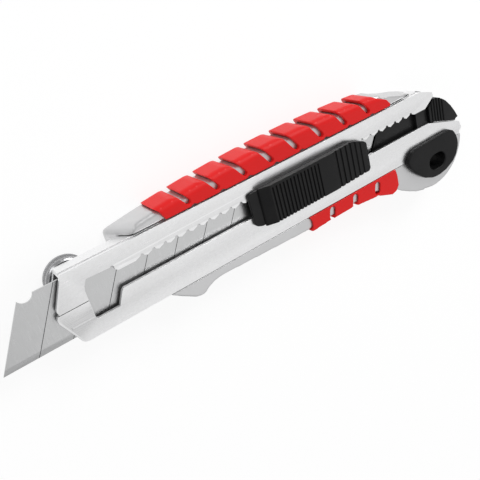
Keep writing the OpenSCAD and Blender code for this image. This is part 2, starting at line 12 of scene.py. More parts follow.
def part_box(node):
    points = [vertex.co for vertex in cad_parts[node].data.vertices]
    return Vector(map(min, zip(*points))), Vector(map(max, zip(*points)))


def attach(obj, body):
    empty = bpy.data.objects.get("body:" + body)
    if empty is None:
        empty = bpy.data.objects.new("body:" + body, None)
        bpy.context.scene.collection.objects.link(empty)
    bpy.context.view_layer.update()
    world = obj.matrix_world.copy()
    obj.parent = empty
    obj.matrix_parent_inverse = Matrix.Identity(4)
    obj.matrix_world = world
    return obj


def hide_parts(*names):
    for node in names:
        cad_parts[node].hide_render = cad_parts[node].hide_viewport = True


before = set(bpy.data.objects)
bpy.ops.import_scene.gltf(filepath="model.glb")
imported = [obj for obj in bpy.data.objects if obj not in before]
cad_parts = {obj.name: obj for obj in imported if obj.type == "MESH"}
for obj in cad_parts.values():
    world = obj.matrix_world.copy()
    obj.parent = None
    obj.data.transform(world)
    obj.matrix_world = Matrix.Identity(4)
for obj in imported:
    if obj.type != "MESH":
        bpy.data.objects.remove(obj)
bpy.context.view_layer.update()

LOG = logging.getLogger("utility_knife")
MM = 0.001
RGB = tuple[float, float, float]
RGBA = tuple[float, float, float, float]
Point = tuple[float, float, float]
Span = tuple[float, float]
WHITE: RGBA = (1.0, 1.0, 1.0, 1.0)


class Run(Enum):
    """Direction in which a finish is worked, as the stretch of its grain along X, Y and Z."""

    ALONG = (0.03, 1.0, 1.0)
    ACROSS = (1.0, 0.04, 1.0)
    AROUND = (1.0, 1.0, 0.08)
    NONE = (1.0, 1.0, 1.0)


def tone(color: RGB, scale: float = 1.0, lift: float = 0.0) -> RGBA:
    """Scales and lifts a colour and makes it opaque.

    Args:
        color: The colour to start from.
        scale: Factor on each channel.
        lift: Amount added to each channel.

    Returns:
        The colour with its alpha.
    """
    red, green, blue = (min(c * scale + lift, 1.0) for c in color)
    return (red, green, blue, 1.0)


# ---------------------------------------------------------------- shared shader effects


@dataclass(frozen=True)
class Socket:
    """One named socket of an effect group."""

    name: str
    kind: str = "NodeSocketFloat"
    value: float = 0.0


@dataclass
class EffectGroup:
    """Base of the shader effects that several materials share.

    Each subclass names its sockets and wires its nodes; the group is built once.
    """

    name: str = "effect"
    inputs: tuple[Socket, ...] = ()
    outputs: tuple[Socket, ...] = ()
    tree: Optional[bpy.types.NodeTree] = field(default=None, init=False)

    def get(self) -> bpy.types.NodeTree:
        """Builds the group on the first call.

        Returns:
            The node group.
        """
        if self.tree is None:
            self.tree = bpy.data.node_groups.new(self.name, "ShaderNodeTree")
            for s in self.inputs:
                made = self.tree.interface.new_socket(s.name, in_out="INPUT", socket_type=s.kind)
                if s.kind == "NodeSocketFloat":
                    made.default_value = s.value
            for s in self.outputs:
                self.tree.interface.new_socket(s.name, in_out="OUTPUT", socket_type=s.kind)
            self.wire(Wiring(self.tree))
        return self.tree

    def wire(self, w: "Wiring") -> None:
        """Adds the group's nodes.

        Args:
            w: Helper bound to the group's tree.
        """
        raise NotImplementedError


@dataclass
class Wiring:
    """Short calls for adding and joining shader nodes in one tree."""

    tree: bpy.types.NodeTree

    def add(self, kind: str, **settings: object) -> bpy.types.Node:
        """Adds a node.

        Args:
            kind: Node type without the ShaderNode prefix, or NodeGroupInput and NodeGroupOutput.
            **settings: Node attributes to set.

        Returns:
            The new node.
        """
        node = self.tree.nodes.new(kind if kind.startswith("NodeGroup") else "ShaderNode" + kind)
        for key, value in settings.items():
            setattr(node, key, value)
        return node

    def put(self, target: bpy.types.NodeSocket, source: object) -> None:
        """Feeds a socket from another socket, or sets its constant.

        Args:
            target: Input socket.
            source: Output socket, number or tuple.
        """
        if isinstance(source, bpy.types.NodeSocket):
            self.tree.links.new(source, target)
        else:
            target.default_value = source

    def math(self, operation: str, *values: object, clamp: bool = False) -> bpy.types.NodeSocket:
        """Adds a Math node.

        Args:
            operation: Math operation name.
            *values: Sockets or numbers for its inputs.
            clamp: True to clamp the result to 0..1.

        Returns:
            The result socket.
        """
        node = self.add("Math", operation=operation, use_clamp=clamp)
        for i, value in enumerate(values):
            self.put(node.inputs[i], value)
        return node.outputs[0]

    def mix(self, factor: object, a: object, b: object) -> bpy.types.NodeSocket:
        """Mixes two colours.

        Args:
            factor: Socket or number.
            a: First colour.
            b: Second colour.

        Returns:
            The mixed colour.
        """
        node = self.add("Mix", data_type="RGBA")
        self.put(node.inputs["Factor"], factor)
        self.put(node.inputs[6], a)
        self.put(node.inputs[7], b)
        return node.outputs[2]

    def ramp(
        self, value: object, low: float, high: float, out_low: float = 0.0, out_high: float = 1.0
    ) -> bpy.types.NodeSocket:
        """Maps a value from one range to another, clamped.

        Args:
            value: Socket to map.
            low: Start of the input range.
            high: End of the input range.
            out_low: Result at low.
            out_high: Result at high.

        Returns:
            The mapped value.
        """
        node = self.add("MapRange")
        self.put(node.inputs[0], value)
        for i, number in enumerate((low, high, out_low, out_high)):
            node.inputs[i + 1].default_value = number
        return node.outputs[0]

    def noise(self, where: object, scale: object, detail: float, rough: float = 0.5) -> bpy.types.NodeSocket:
        """Adds a noise texture.

        Args:
            where: Coordinate socket.
            scale: Cells per metre.
            detail: Octaves.
            rough: Octave roughness.

        Returns:
            The noise value.
        """
        node = self.add("TexNoise")
        self.put(node.inputs["Vector"], where)
        self.put(node.inputs["Scale"], scale)
        node.inputs["Detail"].default_value = detail
        node.inputs["Roughness"].default_value = rough
        return node.outputs[0]


@dataclass
class WornEdges(EffectGroup):
    """Mask that is 1 on worn convex edges, broken up by noise."""

    name: str = "worn_edges"
    inputs: tuple[Socket, ...] = (Socket("Width", value=0.03), Socket("Breakup", value=900.0))
    outputs: tuple[Socket, ...] = (Socket("Mask"), Socket("Hollow"))
    convex: float = 0.515
    concave: float = 0.49
    ragged: float = 0.03

    def wire(self, w: Wiring) -> None:
        """Adds the group's nodes.

        Args:
            w: Helper bound to the group's tree.
        """
        take = w.add("NodeGroupInput")
        give = w.add("NodeGroupOutput")
        point = w.add("NewGeometry").outputs["Pointiness"]
        where = w.add("TexCoord").outputs["Object"]
        grain = w.noise(where, take.outputs["Breakup"], detail=4.0, rough=0.6)
        jitter = w.math("MULTIPLY", w.math("SUBTRACT", grain, 0.5), self.ragged)
        lifted = w.math("ADD", point, jitter)
        above = w.math("SUBTRACT", lifted, self.convex)
        below = w.math("SUBTRACT", self.concave, lifted)
        edge = w.math("DIVIDE", above, take.outputs["Width"], clamp=True)
        hollow = w.math("DIVIDE", below, take.outputs["Width"], clamp=True)
        w.put(give.inputs["Mask"], edge)
        w.put(give.inputs["Hollow"], hollow)


@dataclass
class WorkedGrain(EffectGroup):
    """Directional grain of brushed, ground or turned metal, and the wider streaks in it."""

    name: str = "worked_grain"
    inputs: tuple[Socket, ...] = (
        Socket("Stretch", "NodeSocketVector"),
        Socket("Scale", value=9000.0),
        Socket("Streaks", value=700.0),
    )
    outputs: tuple[Socket, ...] = (Socket("Grain"), Socket("Streak"))

    def wire(self, w: Wiring) -> None:
        """Adds the group's nodes.

        Args:
            w: Helper bound to the group's tree.
        """
        take = w.add("NodeGroupInput")
        give = w.add("NodeGroupOutput")
        where = w.add("TexCoord").outputs["Object"]
        drawn = w.add("VectorMath", operation="MULTIPLY")
        w.put(drawn.inputs[0], where)
        w.put(drawn.inputs[1], take.outputs["Stretch"])
        grain = w.noise(drawn.outputs[0], take.outputs["Scale"], detail=3.0, rough=0.6)
        streak = w.noise(drawn.outputs[0], take.outputs["Streaks"], detail=2.0)
        w.put(give.inputs["Grain"], grain)
        w.put(give.inputs["Streak"], streak)


@dataclass
class Dust(EffectGroup):
    """Fine dust and handling marks: a soft patchy mask, thickest on faces that look up."""

    name: str = "handling_dust"
    inputs: tuple[Socket, ...] = (Socket("Amount", value=0.1),)
    outputs: tuple[Socket, ...] = (Socket("Mask"),)
    patch_scale: float = 110.0
    speck_scale: float = 5200.0

    def wire(self, w: Wiring) -> None:
        """Adds the group's nodes.

        Args:
            w: Helper bound to the group's tree.
        """
        take = w.add("NodeGroupInput")
        give = w.add("NodeGroupOutput")
        where = w.add("TexCoord").outputs["Object"]
        up = w.add("SeparateXYZ")
        w.put(up.inputs[0], w.add("NewGeometry").outputs["Normal"])
        patch = w.ramp(w.noise(where, self.patch_scale, detail=5.0, rough=0.65), low=0.42, high=0.72)
        specks = w.noise(where, self.speck_scale, detail=2.0, rough=0.7)
        speck = w.ramp(specks, low=0.45, high=0.8, out_low=0.2)
        facing = w.ramp(up.outputs[2], low=-0.2, high=1.0, out_low=0.4)
        settled = w.math("MULTIPLY", w.math("MULTIPLY", patch, speck), facing)
        w.put(give.inputs["Mask"], w.math("MULTIPLY", settled, take.outputs["Amount"], clamp=True))


@dataclass
class MouldGrain(EffectGroup):
    """Leathery spark-eroded texture of moulded rubber and plastic."""

    name: str = "mould_grain"
    inputs: tuple[Socket, ...] = (Socket("Scale", value=4200.0),)
    outputs: tuple[Socket, ...] = (Socket("Height"), Socket("Shade"))
    patch_scale: float = 60.0

    def wire(self, w: Wiring) -> None:
        """Adds the group's nodes.

        Args:
            w: Helper bound to the group's tree.
        """
        take = w.add("NodeGroupInput")
        give = w.add("NodeGroupOutput")
        where = w.add("TexCoord").outputs["Object"]
        cells = w.add("TexVoronoi")
        w.put(cells.inputs["Vector"], where)
        w.put(cells.inputs["Scale"], take.outputs["Scale"])
        soft = w.noise(where, take.outputs["Scale"], detail=3.0, rough=0.55)
        patch = w.noise(where, self.patch_scale, detail=4.0, rough=0.6)
        w.put(give.inputs["Height"], w.math("MULTIPLY", cells.outputs["Distance"], soft))
        w.put(give.inputs["Shade"], w.ramp(patch, low=0.3, high=0.7))


@dataclass
class CreviceShade(EffectGroup):
    """Mask of painted shade: the dark line where two faces meet or pieces lie close together, found by
    ambient occlusion.
    """

    name: str = "painted_crevice_shade"
    inputs: tuple[Socket, ...] = (Socket("Reach", value=0.0005), Socket("Depth", value=1.0))
    outputs: tuple[Socket, ...] = (Socket("Mask"),)
    samples: int = 8

    def wire(self, w: Wiring) -> None:
        """Adds the group's nodes.

        Args:
            w: Helper bound to the group's tree.
        """
        take = w.add("NodeGroupInput")
        give = w.add("NodeGroupOutput")
        # painted shade: ambient occlusion within Reach darkens crevices and gaps between pieces
        near = w.add("AmbientOcclusion", samples=self.samples)
        w.put(near.inputs["Distance"], take.outputs["Reach"])
        crevice_shading = w.ramp(near.outputs["AO"], low=0.75, high=0.2)
        w.put(give.inputs["Mask"], w.math("MULTIPLY", crevice_shading, take.outputs["Depth"], clamp=True))


@dataclass
class ScoreLines(EffectGroup):
    """Mask of evenly spaced leaning lines on the faces that look up."""

    name: str = "score_lines"
    inputs: tuple[Socket, ...] = (
        Socket("Start", value=0.0),
        Socket("Edge", value=0.0),
        Socket("Pitch", value=0.01),
        Socket("Lean", value=0.6),
        Socket("Width", value=0.0002),
        Socket("Count", value=7.0),
    )
    outputs: tuple[Socket, ...] = (Socket("Mask"),)
    facing_up: float = 0.3

    def wire(self, w: Wiring) -> None:
        """Adds the group's nodes.

        Args:
            w: Helper bound to the group's tree.
        """
        take = w.add("NodeGroupInput")
        give = w.add("NodeGroupOutput")
        spot = w.add("SeparateXYZ")
        w.put(spot.inputs[0], w.add("TexCoord").outputs["Object"])
        up = w.add("SeparateXYZ")
        w.put(up.inputs[0], w.add("NewGeometry").outputs["Normal"])
        from_edge = w.math("SUBTRACT", spot.outputs[1], take.outputs["Edge"])
        drift = w.math("MULTIPLY", from_edge, take.outputs["Lean"])
        along = w.math("SUBTRACT", w.math("SUBTRACT", spot.outputs[0], take.outputs["Start"]), drift)
        steps = w.math("DIVIDE", along, take.outputs["Pitch"])
        off = w.math("ABSOLUTE", w.math("SUBTRACT", steps, w.math("ROUND", steps)))
        half = w.math("DIVIDE", w.math("MULTIPLY", take.outputs["Width"], 0.5), take.outputs["Pitch"])
        on_line = w.math("LESS_THAN", off, half)
        past_first = w.math("GREATER_THAN", steps, 0.5)
        before_end = w.math("LESS_THAN", steps, w.math("ADD", take.outputs["Count"], 0.5))
        inside = w.math("MULTIPLY", past_first, before_end)
        face = w.math("GREATER_THAN", up.outputs[2], self.facing_up)
        w.put(give.inputs["Mask"], w.math("MULTIPLY", w.math("MULTIPLY", on_line, inside), face))


WORN = WornEdges()
GRAIN = WorkedGrain()
DUST = Dust()
MOULD = MouldGrain()
# painted crevice shade, shared by the metal and moulded finishes
CREVICE_SHADE = CreviceShade()
SCORES = ScoreLines()


def placed(w: Wiring, effect: EffectGroup, **values: object) -> bpy.types.Node:
    """Places an effect group in a material.

    Args:
        w: Helper bound to the material's tree.
        effect: The effect to place.
        **values: Values of its inputs, by name.

    Returns:
        The group node.
    """
    node = w.add("Group")
    node.node_tree = effect.get()
    for name, value in values.items():
        w.put(node.inputs[name], value)
    return node


# ---------------------------------------------------------------- finishes


@dataclass(frozen=True)
class Finish:
    """Base of every finish: builds a material with a Principled BSDF in it."""

    name: str
    color: RGB
    roughness: float

    def build(self) -> bpy.types.Material:
        """Makes the material.

        Returns:
            The material.
        """
        mat = bpy.data.materials.new(self.name)
        mat.use_nodes = True
        mat.node_tree.nodes.clear()
        w = Wiring(mat.node_tree)
        shader = w.add("BsdfPrincipled")
        w.put(w.add("OutputMaterial").inputs[0], shader.outputs[0])
        self.dress(w, shader)
        return mat

    def dress(self, w: Wiring, shader: bpy.types.Node) -> None:
        """Feeds the shader.

        Args:
            w: Helper bound to the material's tree.
            shader: The Principled BSDF.
        """
        raise NotImplementedError

    def varied(
        self, w: Wiring, texture: bpy.types.NodeSocket, span: Span, swing: Span
    ) -> bpy.types.NodeSocket:
        """Spreads the finish's roughness over a texture.

        Args:
            w: Helper bound to the material's tree.
            texture: The texture's value.
            span: Values of the texture at which the roughness is least and most.
            swing: How far the roughness goes below and above the finish's own.

        Returns:
            The roughness.
        """
        least, most = self.roughness - swing[0], self.roughness + swing[1]
        return w.ramp(texture, span[0], span[1], out_low=least, out_high=most)

    def bump(self, w: Wiring, shader: bpy.types.Node, height: bpy.types.NodeSocket, depth: float) -> None:
        """Adds a bump to the shader's normal.

        Args:
            w: Helper bound to the material's tree.
            shader: The Principled BSDF.
            height: Height from 0 to 1.
            depth: Depth of the bump in metres.
        """
        node = w.add("Bump")
        node.inputs["Strength"].default_value = 1.0
        node.inputs["Distance"].default_value = depth
        w.put(node.inputs["Height"], height)
        w.put(shader.inputs["Normal"], node.outputs[0])


@dataclass(frozen=True)
class WorkedMetal(Finish):
    """Brushed, ground or turned metal."""

    run: Run = Run.ALONG
    metallic: float = 1.0
    grain: float = 9000.0
    depth: float = 0.000004
    edge_light: float = 0.16
    tint: float = 0.06
    # strength of the painted crevice shade
    crevice_shade_depth: float = 0.8
    dust: float = 0.12
    dust_color: RGB = (0.7, 0.7, 0.69)
    dust_dulls: float = 0.5
    hollow_share: float = 0.6
    hollow_shade: float = 0.62
    # colour of the painted crevice shade
    crevice_shade_tone: RGB = (0.04, 0.04, 0.042)
    grains_per_streak: float = 9.0

    def dress(self, w: Wiring, shader: bpy.types.Node) -> None:
        """Feeds the shader.

        Args:
            w: Helper bound to the material's tree.
            shader: The Principled BSDF.
        """
        streaks = self.grain / self.grains_per_streak
        worked = placed(w, GRAIN, Stretch=self.run.value, Scale=self.grain, Streaks=streaks)
        worn = placed(w, WORN, Width=0.05, Breakup=1500.0)
        dust = placed(w, DUST, Amount=self.dust)
        crevice_shading = placed(w, CREVICE_SHADE, Reach=0.0003, Depth=self.crevice_shade_depth)
        low = tone(self.color, scale=1 - self.tint)
        body = w.mix(w.ramp(worked.outputs["Grain"], low=0.35, high=0.65), low, tone(self.color))
        streaked = w.mix(w.ramp(worked.outputs["Streak"], low=0.45, high=0.75, out_high=0.5), body, low)
        edged = w.mix(worn.outputs["Mask"], streaked, tone(self.color, lift=self.edge_light))
        hollow = w.math("MULTIPLY", worn.outputs["Hollow"], self.hollow_share)
        settled = w.mix(hollow, edged, tone(self.color, scale=self.hollow_shade))
        # painted shade: darkens the colour where faces meet and pieces lie close
        lined = w.mix(crevice_shading.outputs["Mask"], settled, tone(self.crevice_shade_tone))
        dusted = w.mix(dust.outputs["Mask"], lined, tone(self.dust_color))
        w.put(shader.inputs["Base Color"], self.marked(w, dusted))
        shader.inputs["Metallic"].default_value = self.metallic
        rough = self.varied(w, worked.outputs["Grain"], span=(0.3, 0.7), swing=(0.05, 0.07))
        dulled = w.math("MULTIPLY", dust.outputs["Mask"], self.dust_dulls)
        w.put(shader.inputs["Roughness"], w.math("ADD", rough, dulled))
        self.bump(w, shader, worked.outputs["Grain"], self.depth)

    def marked(self, w: Wiring, color: bpy.types.NodeSocket) -> bpy.types.NodeSocket:
        """Adds the marks that only some metals have; plain metal has none.

        Args:
            w: Helper bound to the material's tree.
            color: Colour before the marks.

        Returns:
            The marked colour.
        """
        return color


@dataclass(frozen=True)
class ScoredBlade(WorkedMetal):
    """Ground blade steel with the score lines at which it snaps, drawn dark as painted shade in their
    grooves.
    """

    node: str = "blade"
    pitch: float = 0.01
    lean: float = 32.0
    lines: int = 7
    width: float = 0.00022
    # colour of the painted shade in the score lines' grooves
    groove_shade: RGB = (0.05, 0.05, 0.052)
    cover: float = 0.9

    def marked(self, w: Wiring, color: bpy.types.NodeSocket) -> bpy.types.NodeSocket:
        """Paints shade into the score lines, which start at the blade's tip.

        Args:
            w: Helper bound to the material's tree.
            color: Colour before the marks.

        Returns:
            The marked colour.
        """
        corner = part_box(self.node)[0]
        slope = math.tan(math.radians(self.lean))
        lines = placed(
            w, SCORES, Start=corner[0], Edge=corner[1], Pitch=self.pitch, Lean=slope, Width=self.width,
            Count=float(self.lines),
        )
        # painted shade: the score lines drawn dark where their grooves lie
        return w.mix(w.math("MULTIPLY", lines.outputs["Mask"], self.cover), color, tone(self.groove_shade))


@dataclass(frozen=True)
class CastMetal(Finish):
    """Bead-blasted die casting."""

    metallic: float = 0.75
    grain: float = 5200.0
    depth: float = 0.000012
    dust: float = 0.1
    patch_shade: float = 0.93
    edge_share: float = 0.6
    hollow_share: float = 0.5
    rubbed: RGB = (0.93, 0.93, 0.93)
    settled: RGB = (0.4, 0.4, 0.41)
    # colour of the painted crevice shade
    crevice_shade_tone: RGB = (0.05, 0.05, 0.052)
    dust_color: RGB = (0.75, 0.75, 0.74)

    def dress(self, w: Wiring, shader: bpy.types.Node) -> None:
        """Feeds the shader.

        Args:
            w: Helper bound to the material's tree.
            shader: The Principled BSDF.
        """
        blast = placed(w, MOULD, Scale=self.grain)
        worn = placed(w, WORN, Width=0.06, Breakup=700.0)
        dust = placed(w, DUST, Amount=self.dust)
        crevice_shading = placed(w, CREVICE_SHADE, Reach=0.00025, Depth=0.7)
        body = w.mix(blast.outputs["Shade"], tone(self.color), tone(self.color, scale=self.patch_shade))
        edged = w.mix(w.math("MULTIPLY", worn.outputs["Mask"], self.edge_share), body, tone(self.rubbed))
        hollow = w.math("MULTIPLY", worn.outputs["Hollow"], self.hollow_share)
        dirty = w.mix(hollow, edged, tone(self.settled))
        # painted shade: darkens the colour where faces meet and pieces lie close
        lined = w.mix(crevice_shading.outputs["Mask"], dirty, tone(self.crevice_shade_tone))
        w.put(shader.inputs["Base Color"], w.mix(dust.outputs["Mask"], lined, tone(self.dust_color)))
        shader.inputs["Metallic"].default_value = self.metallic
        rough = self.varied(w, blast.outputs["Height"], span=(0.0, 0.4), swing=(0.05, 0.06))
        w.put(shader.inputs["Roughness"], rough)
        self.bump(w, shader, blast.outputs["Height"], self.depth)


@dataclass(frozen=True)
class Moulded(Finish):
    """Moulded rubber or plastic with a fine mould texture."""

    dark: float = 0.75
    edge: float = 0.05
    grain: float = 4200.0
    depth: float = 0.00001
    dust: float = 0.08
    gloss: float = 0.3
    dust_color: RGB = (0.3, 0.29, 0.28)
    dust_dulls: float = 0.5
    patch_share: float = 0.5
    edge_share: float = 0.7
    hollow_share: float = 0.8
    hollow_shade: float = 0.35
    # how dark the painted crevice shade makes the colour
    crevice_shade: float = 0.2

    def dress(self, w: Wiring, shader: bpy.types.Node) -> None:
        """Feeds the shader.

        Args:
            w: Helper bound to the material's tree.
            shader: The Principled BSDF.
        """
        mould = placed(w, MOULD, Scale=self.grain)
        worn = placed(w, WORN, Width=0.06, Breakup=800.0)
        dust = placed(w, DUST, Amount=self.dust)
        crevice_shading = placed(w, CREVICE_SHADE, Reach=0.0007, Depth=0.8)
        patchy = w.math("MULTIPLY", mould.outputs["Shade"], self.patch_share)
        rubbed = w.math("MULTIPLY", worn.outputs["Mask"], self.edge_share)
        hollow = w.math("MULTIPLY", worn.outputs["Hollow"], self.hollow_share)
        body = w.mix(patchy, tone(self.color), tone(self.color, scale=self.dark))
        edged = w.mix(rubbed, body, tone(self.color, lift=self.edge))
        settled = w.mix(hollow, edged, tone(self.color, scale=self.hollow_shade))
        # painted shade: darkens the colour where faces meet and pieces lie close
        lined = w.mix(crevice_shading.outputs["Mask"], settled, tone(self.color, scale=self.crevice_shade))
        w.put(shader.inputs["Base Color"], w.mix(dust.outputs["Mask"], lined, tone(self.dust_color)))
        shader.inputs["Specular IOR Level"].default_value = self.gloss
        rough = self.varied(w, mould.outputs["Height"], span=(0.0, 0.4), swing=(0.06, 0.08))
        dulled = w.math("MULTIPLY", dust.outputs["Mask"], self.dust_dulls)
        w.put(shader.inputs["Roughness"], w.math("ADD", rough, dulled))
        self.bump(w, shader, mould.outputs["Height"], self.depth)


RUBBER_RED: RGB = (0.86, 0.01, 0.01)
BLADE_GREY: RGB = (0.46, 0.463, 0.466)
FINISHES: dict[str, Finish] = {
    "sheet_steel": WorkedMetal(
        "brushed_sheet", (0.76, 0.76, 0.765), 0.3, Run.ALONG, grain=5200.0, depth=7e-6, tint=0.2
    ),
    "cast_metal": CastMetal("blasted_casting", (0.68, 0.68, 0.685), 0.33),
    "grip_rubber": Moulded(
        "red_rubber", RUBBER_RED, 0.4, dark=0.86, edge=0.04, grain=5200.0, depth=3e-6, dust=0.0, gloss=0.25
    ),
    "black_rubber": Moulded(
        "black_rubber", (0.005, 0.005, 0.0054), 0.4, dark=0.8, edge=0.012, grain=4600.0, depth=8e-6,
        dust=0.05, gloss=0.22,
    ),
    "black_plastic": Moulded(
        "black_plastic", (0.0045, 0.0045, 0.005), 0.3, dark=0.8, edge=0.014, grain=3800.0, depth=8e-6,
        dust=0.05, gloss=0.22,
    ),
    "blade_steel": ScoredBlade(
        "ground_blade", BLADE_GREY, 0.3, Run.ACROSS, grain=6000.0, depth=6e-6, tint=0.16, crevice_shade_depth=0.4
    ),
    "spare_steel": ScoredBlade(
        "spare_blade", BLADE_GREY, 0.3, Run.ACROSS, grain=6000.0, depth=6e-6, tint=0.16, crevice_shade_depth=0.4,
        node="spare_blade_1",
    ),
    "plated_steel": WorkedMetal("plated_steel", (0.6, 0.6, 0.61), 0.3, Run.NONE, grain=6000.0, depth=3e-6),
    "spring_steel": WorkedMetal(
        "spring_steel", (0.42, 0.43, 0.45), 0.3, Run.ALONG, grain=8000.0, depth=2e-6
    ),
    "wheel_metal": WorkedMetal(
        "turned_wheel", (0.46, 0.46, 0.47), 0.26, Run.AROUND, grain=7000.0, depth=3e-6
    ),
    "brass": WorkedMetal("pad_brass", (0.72, 0.52, 0.22), 0.35, Run.NONE, grain=6000.0, depth=3e-6),
}
MADE: dict[str, bpy.types.Material] = {}


def finish_of(slot: str) -> bpy.types.Material:
    """Gives the material of a finish, made on the first call.

    Args:
        slot: Name of the finish, as in the record's material slots.

    Returns:
        The material.
    """
    if slot not in MADE:
        MADE[slot] = FINISHES[slot].build()
    return MADE[slot]


# ---------------------------------------------------------------- pieces


@dataclass(frozen=True)
class Rounding:
    """How a cast or moulded piece is rounded: its surface cells in mm and its rounds of smoothing."""

    cell: float
    rounds: int


@dataclass
class Piece:
    """Helpers that every sub-assembly uses on its meshes; sizes in mm, angles in degrees."""

    body: str
    weld_gap: float = 0.002
    flat_within: float = 1.0
    bevel_above: float = 40.0
    bevel_segments: int = 2
    smoothing: float = 0.5

    def wear(self, name: str, slot: str) -> bpy.types.Object:
        """Gives a CAD node its finish.

        Args:
            name: The CAD node.
            slot: The finish.

        Returns:
            The node's object.
        """
        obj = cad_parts[name]
        obj.data.materials.clear()
        obj.data.materials.append(finish_of(slot))
        LOG.info("%s wears %s", name, slot)
        return obj

    def weld(self, obj: bpy.types.Object) -> None:
        """Joins the vertices that the CAD mesh repeats.

        Args:
            obj: The node's object.
        """
        obj.modifiers.new("weld", "WELD").merge_threshold = self.weld_gap * MM

    def crisp(self, name: str, slot: str, width: float) -> bpy.types.Object:
        """Finishes a machined or pressed CAD node with small bevels.

        Args:
            name: The CAD node.
            slot: The finish.
            width: Bevel width in mm.

        Returns:
            The node's object.
        """
        obj = self.wear(name, slot)
        self.weld(obj)
        flat = obj.modifiers.new("flat", "DECIMATE")
        flat.decimate_type = "DISSOLVE"
        flat.angle_limit = math.radians(self.flat_within)
        bevel = obj.modifiers.new("bevel", "BEVEL")
        bevel.width = width * MM
        bevel.segments = self.bevel_segments
        bevel.limit_method = "ANGLE"
        bevel.angle_limit = math.radians(self.bevel_above)
        bevel.use_clamp_overlap = True
        bevel.harden_normals = False
        obj.modifiers.new("normals", "WEIGHTED_NORMAL").keep_sharp = False
        for poly in obj.data.polygons:
            poly.use_smooth = True
        return obj

    def soft(self, name: str, slot: str, rounding: Rounding) -> bpy.types.Object:
        """Finishes a cast or moulded CAD node with rounded edges.

        Args:
            name: The CAD node.
            slot: The finish.
            rounding: How round its edges get.

        Returns:
            The node's object.
        """
        obj = self.wear(name, slot)
        self.weld(obj)
        cells = obj.modifiers.new("cells", "REMESH")
        cells.mode = "VOXEL"
        cells.voxel_size = rounding.cell * MM
        cells.use_smooth_shade = True
        smooth = obj.modifiers.new("smooth", "SMOOTH")
        smooth.factor = self.smoothing
        smooth.iterations = rounding.rounds
        return obj


@dataclass
class Handle(Piece):
    """The cast body with its sheet steel channel, plates, grips and heel insert."""

    body: str = "handle"
    casting: Rounding = Rounding(0.28, 14)
    grips: Rounding = Rounding(0.2, 9)
    insert: Rounding = Rounding(0.24, 16)
    sheet_edge: float = 0.12
    bed_edge: float = 0.1
    rivet_edge: float = 0.08
    screw_edge: float = 0.12

    def build(self) -> None:
        """Finishes the handle's pieces."""
        self.soft("body_casting", "cast_metal", self.casting)
        for name in ("blade_channel", "ratchet_plate", "guide_plate"):
            self.crisp(name, "sheet_steel", self.sheet_edge)
        for name in ("upper_grip", "lower_grip"):
            self.soft(name, "grip_rubber", self.grips)
        self.soft("heel_insert", "black_rubber", self.insert)
        self.crisp("nose_bed", "black_plastic", self.bed_edge)
        self.crisp("bed_rivets", "plated_steel", self.rivet_edge)
        self.crisp("body_screws", "plated_steel", self.screw_edge)


@dataclass
class Slider(Piece):
    """The blade, its carrier and the thumb slider."""

    body: str = "slider"
    base: Rounding = Rounding(0.16, 4)
    cap: Rounding = Rounding(0.13, 3)
    metal_edge: float = 0.08
    spring_edge: float = 0.03

    def build(self) -> None:
        """Finishes the slider's pieces."""
        self.wear("blade", "blade_steel")
        for name in ("blade_carrier", "carrier_stud", "slider_rivets"):
            self.crisp(name, "plated_steel", self.metal_edge)
        self.soft("slider_base", "black_plastic", self.base)
        self.soft("slider_cap", "black_plastic", self.cap)
        self.crisp("ratchet_spring", "spring_steel", self.spring_edge)


